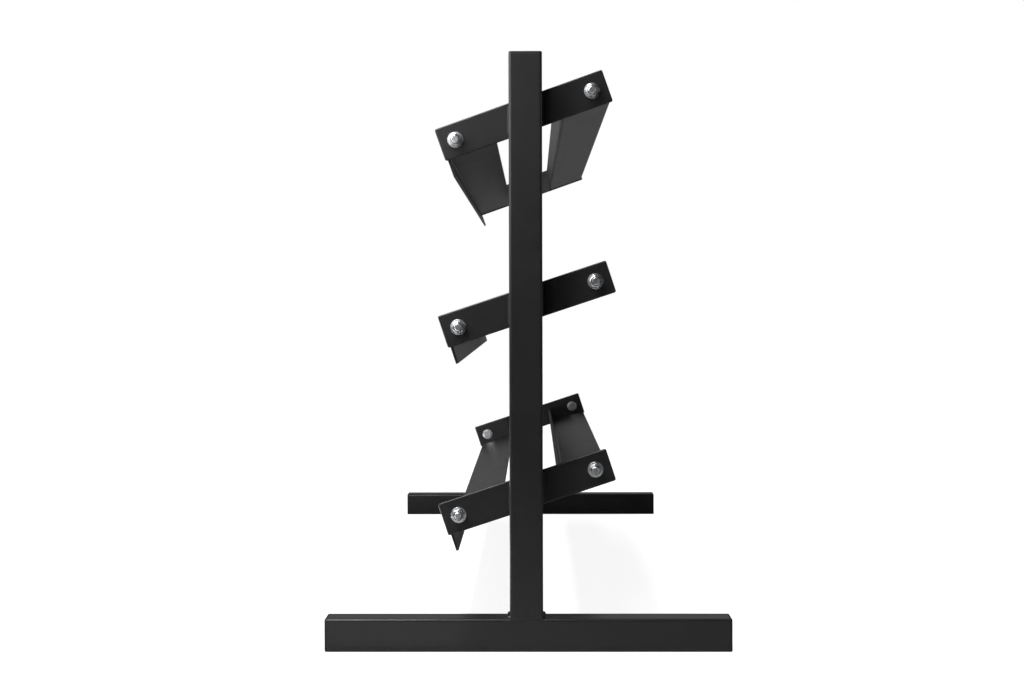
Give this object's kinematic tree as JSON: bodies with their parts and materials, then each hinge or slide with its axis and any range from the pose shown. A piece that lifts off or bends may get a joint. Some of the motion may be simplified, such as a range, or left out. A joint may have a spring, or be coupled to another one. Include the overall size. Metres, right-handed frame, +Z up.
{
  "type": "dumbbell rack",
  "caption": "Free-standing steel rack with sloping tiers of folded rails, bolted between square-tube end frames, for storing dumbbells.",
  "frame": {"origin": "on the floor under the middle of the rack, at the centre of the bottom of its bounding box", "axes": "+X along the rack, -Y towards the front, where the sloping tiers are low and a user stands, and +Z up"},
  "size_m": [1.7516, 0.6118, 0.8984],
  "materials": {
    "powder_coat": "satin black powder coat with a fine orange-peel texture",
    "cap_plastic": "matt black moulded plastic",
    "zinc_plate": "bright zinc plate"
  },
  "bodies": {
    "root": {"left_post": "powder_coat", "left_foot": "powder_coat", "left_post_cap": "cap_plastic", "left_foot_front_cap": "cap_plastic", "left_foot_rear_cap": "cap_plastic", "left_lower_bracket": "powder_coat", "left_middle_bracket": "powder_coat", "left_upper_bracket": "powder_coat", "left_foot_weld": "powder_coat", "left_bracket_welds": "powder_coat", "right_post": "powder_coat", "right_foot": "powder_coat", "right_post_cap": "cap_plastic", "right_foot_front_cap": "cap_plastic", "right_foot_rear_cap": "cap_plastic", "right_lower_bracket": "powder_coat", "right_middle_bracket": "powder_coat", "right_upper_bracket": "powder_coat", "right_foot_weld": "powder_coat", "right_bracket_welds": "powder_coat", "lower_front_rail": "powder_coat", "lower_rear_rail": "powder_coat", "lower_end_plates": "powder_coat", "lower_bolts": "zinc_plate", "lower_inner_washers": "zinc_plate", "lower_outer_washers": "zinc_plate", "lower_nuts": "zinc_plate", "middle_front_rail": "powder_coat", "middle_rear_rail": "powder_coat", "middle_end_plates": "powder_coat", "middle_bolts": "zinc_plate", "middle_inner_washers": "zinc_plate", "middle_outer_washers": "zinc_plate", "middle_nuts": "zinc_plate", "upper_front_rail": "powder_coat", "upper_rear_rail": "powder_coat", "upper_end_plates": "powder_coat", "upper_bolts": "zinc_plate", "upper_inner_washers": "zinc_plate", "upper_outer_washers": "zinc_plate", "upper_nuts": "zinc_plate"}
  },
  "joints": []
}
